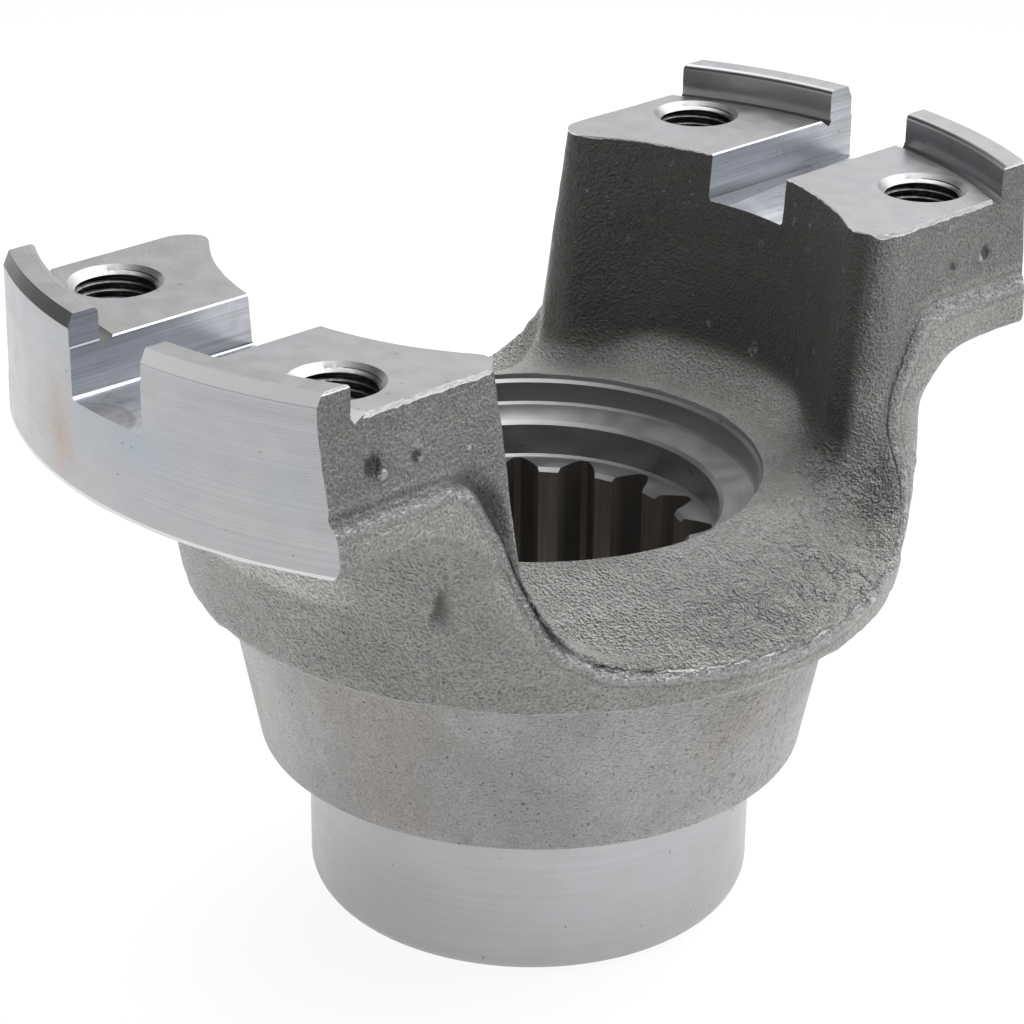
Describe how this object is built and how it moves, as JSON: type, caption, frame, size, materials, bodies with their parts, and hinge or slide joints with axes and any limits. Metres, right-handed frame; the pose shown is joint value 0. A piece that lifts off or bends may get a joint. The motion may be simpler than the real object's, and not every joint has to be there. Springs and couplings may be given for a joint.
{
  "type": "forged yoke",
  "caption": "Forged end yoke with drafted ears, keyed and lipped bearing pads with threaded holes, a sloping saddle, and a splined, stepped bore through a turned hub.",
  "frame": {"origin": "centre of the hub end face, on the bore axis", "axes": "+Z along the bore axis toward the pads, Y from ear to ear, X along the bolt holes of one ear"},
  "size_m": [0.1121, 0.1584, 0.1129],
  "materials": {
    "forged_steel": "blasted forging skin, turned and milled faces left bare"
  },
  "bodies": {
    "root": {"yoke": "forged_steel"}
  },
  "joints": []
}
